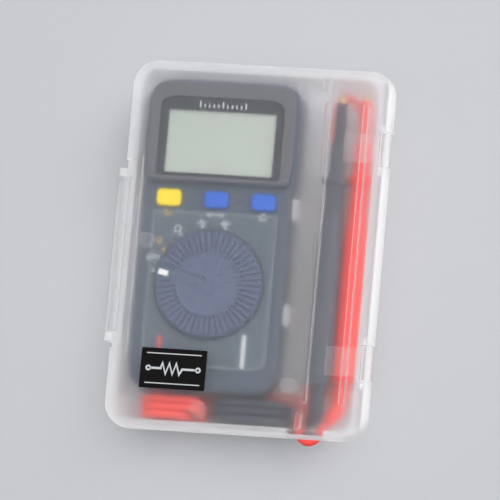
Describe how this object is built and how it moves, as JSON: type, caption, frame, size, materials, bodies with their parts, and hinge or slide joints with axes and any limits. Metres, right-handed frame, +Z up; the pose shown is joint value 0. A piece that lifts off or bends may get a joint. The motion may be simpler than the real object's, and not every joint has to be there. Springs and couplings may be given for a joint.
{
  "type": "pocket multimeter in storage case",
  "caption": "Pocket digital multimeter with captive red and black test probes, put away in a frosted hinged storage case.",
  "frame": {"origin": "bottom centre of the closed case with its clasp, on the table", "axes": "+X towards the lid's hinge, +Y towards the display end, +Z up through the lid"},
  "size_m": [0.0948, 0.13, 0.0255],
  "materials": {
    "case_frosted": "frosted translucent polypropylene",
    "clasp_frosted": "frosted translucent polypropylene, thicker and whiter",
    "label_black": "satin black vinyl",
    "housing_grey": "fine textured dark blue-grey ABS",
    "lens_clear": "clear polished acrylic",
    "display_grey": "grey-green liquid-crystal cell with its reflector",
    "holder_white": "moulded white ABS",
    "strip_grey": "layered conductive silicone",
    "panel_blue": "satin printed overlay",
    "steel_bright": "zinc-plated steel",
    "brass_spring": "spring brass",
    "board_green": "glass-epoxy board with green solder mask",
    "part_black": "moulded epoxy",
    "part_blue": "moulded trimmer case",
    "part_ochre": "dipped epoxy",
    "dial_grey": "satin blue-grey ABS",
    "marker_white": "white insert",
    "button_yellow": "soft yellow keypad rubber",
    "button_blue": "soft blue keypad rubber",
    "grip_black": "satin black probe handle",
    "grip_red": "satin red probe handle",
    "lead_black": "soft black PVC",
    "lead_red": "soft red PVC",
    "tip_bright": "nickel-plated needle"
  },
  "bodies": {
    "case": {"case_base": "case_frosted", "meter_front_shell": "housing_grey", "meter_rear_shell": "housing_grey", "battery_door": "housing_grey", "case_screws": "steel_bright", "board_screws": "steel_bright", "door_screw": "steel_bright", "display_lens": "lens_clear", "display_glass": "display_grey", "display_holder": "holder_white", "zebra_strip": "strip_grey", "face_panel": "panel_blue", "circuit_board": "board_green", "control_chip": "part_black", "buzzer_disc": "brass_spring", "coin_cell": "steel_bright", "cell_holder": "part_black", "contact_minus": "brass_spring", "contact_plus": "brass_spring", "ptc_limiter": "part_ochre", "trimmer": "part_blue", "button_domes": "steel_bright", "red_gland": "lead_red", "black_gland": "lead_black", "black_probe_handle": "grip_black", "black_probe_sleeve": "lead_black", "black_probe_tip": "tip_bright", "black_probe_boot": "lead_black", "red_probe_handle": "grip_red", "red_probe_sleeve": "lead_red", "red_probe_tip": "tip_bright", "red_probe_boot": "lead_red", "red_lead_coil": "lead_red", "black_lead_coil": "lead_black", "red_lead_start": "lead_red", "red_lead_run": "lead_red", "black_lead_start": "lead_black", "black_lead_run": "lead_black"},
    "lid": {"case_lid": "case_frosted", "lid_label": "label_black"},
    "clasp": {"lid_clasp": "clasp_frosted"},
    "dial": {"dial_knob": "dial_grey", "dial_marker": "marker_white", "dial_rotor": "holder_white", "dial_wipers": "brass_spring", "detent_leaf": "brass_spring"},
    "select_key": {"select_button": "button_yellow"},
    "range_key": {"range_button": "button_blue"},
    "hold_key": {"hold_button": "button_blue"}
  },
  "joints": [
    {"name": "lid_hinge", "type": "hinge", "parent": "case", "child": "lid", "pos_m": [0.04545, 0, 0.0222], "axis": [0, 1, 0], "range_deg": [0, 180]},
    {"name": "clasp_hinge", "type": "hinge", "parent": "case", "child": "clasp", "pos_m": [-0.04565, -0.004, 0.0172], "axis": [0, -1, 0], "range_deg": [0, 80]},
    {"name": "dial_turn", "type": "hinge", "parent": "case", "child": "dial", "pos_m": [-0.01245, -0.0128, 0.02], "axis": [0, 0, 1], "range_deg": [-90, 0]},
    {"name": "select_press", "type": "slide", "parent": "case", "child": "select_key", "axis": [0, 0, -1], "range_m": [0, 0.0006], "stiffness_N_per_m": 1500},
    {"name": "range_press", "type": "slide", "parent": "case", "child": "range_key", "axis": [0, 0, -1], "range_m": [0, 0.0006], "stiffness_N_per_m": 1500},
    {"name": "hold_press", "type": "slide", "parent": "case", "child": "hold_key", "axis": [0, 0, -1], "range_m": [0, 0.0006], "stiffness_N_per_m": 1500}
  ]
}
